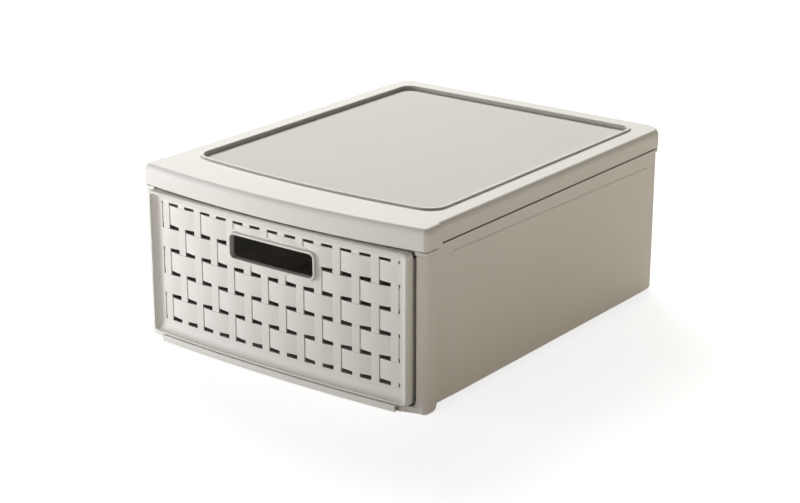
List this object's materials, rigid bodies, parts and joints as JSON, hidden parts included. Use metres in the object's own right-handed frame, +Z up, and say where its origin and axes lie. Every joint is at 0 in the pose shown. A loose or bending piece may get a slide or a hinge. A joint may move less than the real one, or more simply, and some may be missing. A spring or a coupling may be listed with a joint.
{
  "type": "stackable drawer box",
  "caption": "Low stackable drawer box: bowed-front case on feet with a stacking rim on its top, and a woven-look pull-out drawer with a hand hole",
  "frame": {"origin": "On the ground under the middle of the closed box: z = 0 is the underside of the feet, x = 0 the middle of the width, y = 0 halfway between the drawer front's foremost point and the cover's rear edge", "axes": "+Z up, the front with the drawer faces -Y, +X to the right seen from the front"},
  "size_m": [0.3354, 0.4262, 0.175],
  "materials": {
    "case_plastic": "satin moulded polypropylene, warm grey white",
    "drawer_plastic": "satin moulded polypropylene, warm grey white",
    "inner_plastic": "satin moulded polypropylene, warm grey white"
  },
  "bodies": {
    "case": {"top_cover": "case_plastic", "left_side_wall": "case_plastic", "right_side_wall": "case_plastic", "rear_wall": "case_plastic", "base_plate": "inner_plastic", "front_sill": "case_plastic", "left_front_post": "case_plastic", "right_front_post": "case_plastic", "front_rail": "case_plastic"},
    "drawer": {"drawer_tray": "inner_plastic", "drawer_front": "drawer_plastic", "grip_bezel": "drawer_plastic"}
  },
  "joints": [
    {"name": "drawer_slide", "type": "slide", "parent": "case", "child": "drawer", "axis": [0, -1, 0], "range_m": [0, 0.3]}
  ]
}
